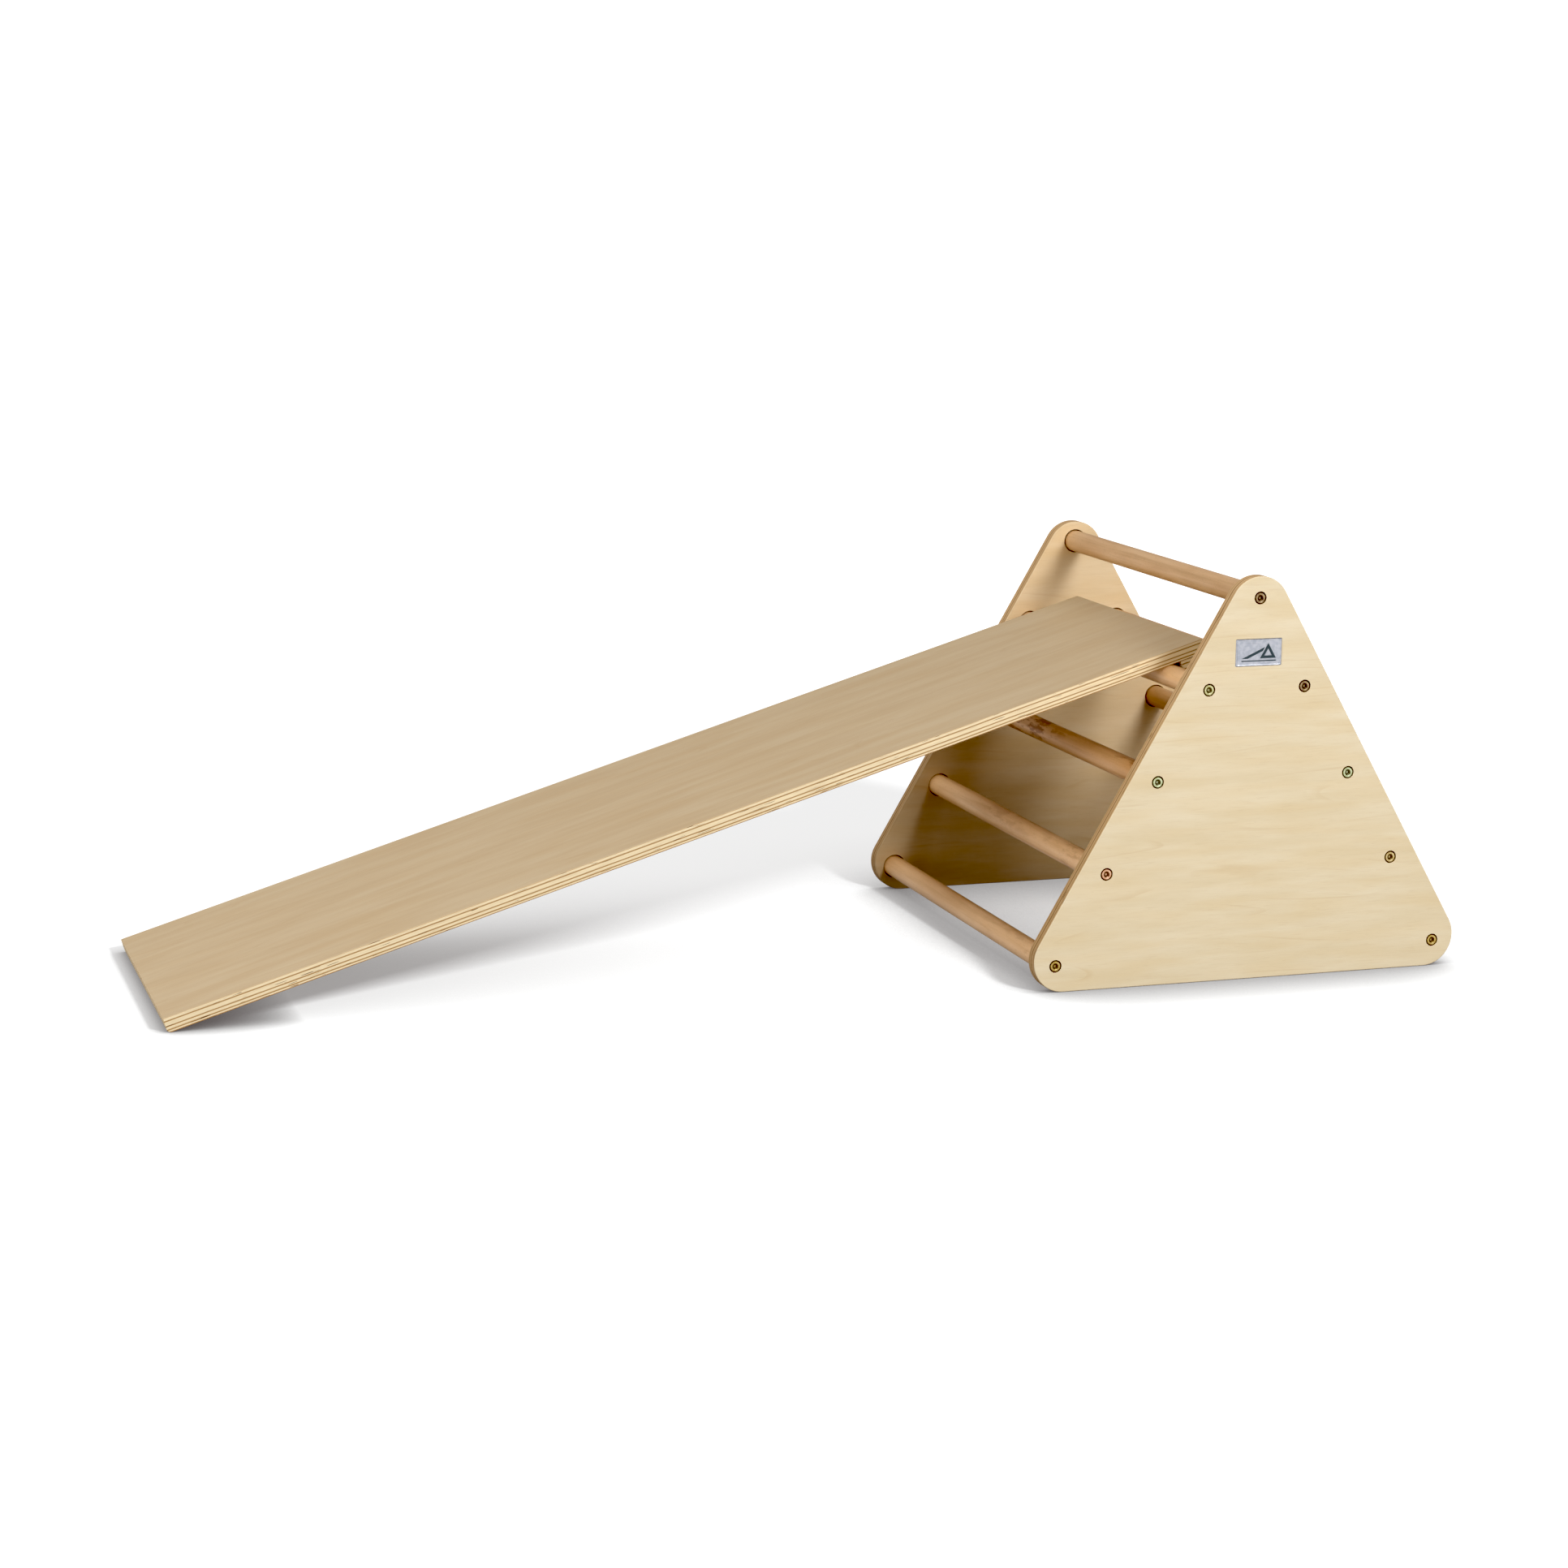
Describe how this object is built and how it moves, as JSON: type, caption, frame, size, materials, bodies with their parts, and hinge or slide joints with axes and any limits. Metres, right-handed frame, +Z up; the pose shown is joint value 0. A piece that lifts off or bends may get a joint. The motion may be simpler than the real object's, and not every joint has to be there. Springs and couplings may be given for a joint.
{
  "type": "toddler climbing triangle with slide board",
  "caption": "Plywood climbing triangle with round rungs between two solid side panels and a plain slide board hooked on its upper front rung.",
  "frame": {"origin": "on the floor, in the middle of the whole object's footprint (triangle and board together)", "axes": "+X from the foot of the slide board towards the triangle, +Y across the object from the panel with the badge to the other panel, +Z up"},
  "size_m": [1.566, 0.5872, 0.491],
  "materials": {
    "panel_plywood": "pale birch plywood, clear satin lacquer",
    "board_plywood": "birch plywood, smooth satin lacquer, bare light plies on its edges",
    "rung_hardwood": "smooth sanded beech dowel",
    "bolt_zinc": "yellow-passivated zinc plate",
    "steel": "bright zinc plate",
    "badge_silver": "satin silver",
    "badge_enamel": "gloss teal enamel"
  },
  "bodies": {
    "triangle": {"side_panel_near": "panel_plywood", "side_panel_far": "panel_plywood", "rung_top": "rung_hardwood", "rung_front_1": "rung_hardwood", "rung_front_2": "rung_hardwood", "rung_front_3": "rung_hardwood", "rung_front_4": "rung_hardwood", "rung_rear_1": "rung_hardwood", "rung_rear_2": "rung_hardwood", "rung_rear_3": "rung_hardwood", "rung_rear_4": "rung_hardwood", "bolts_near": "bolt_zinc", "bolts_far": "bolt_zinc", "inserts_near": "steel", "inserts_far": "steel", "badge_plate": "badge_silver", "badge_icon": "badge_enamel"},
    "slide": {"slide_board": "board_plywood", "hook_cleat": "board_plywood", "cleat_screws": "steel"}
  },
  "joints": [
    {"name": "board_lift", "type": "hinge", "parent": "triangle", "child": "slide", "pos_m": [0.4429, 0, 0.35676], "axis": [0, 1, 0], "range_deg": [0, 17]}
  ]
}
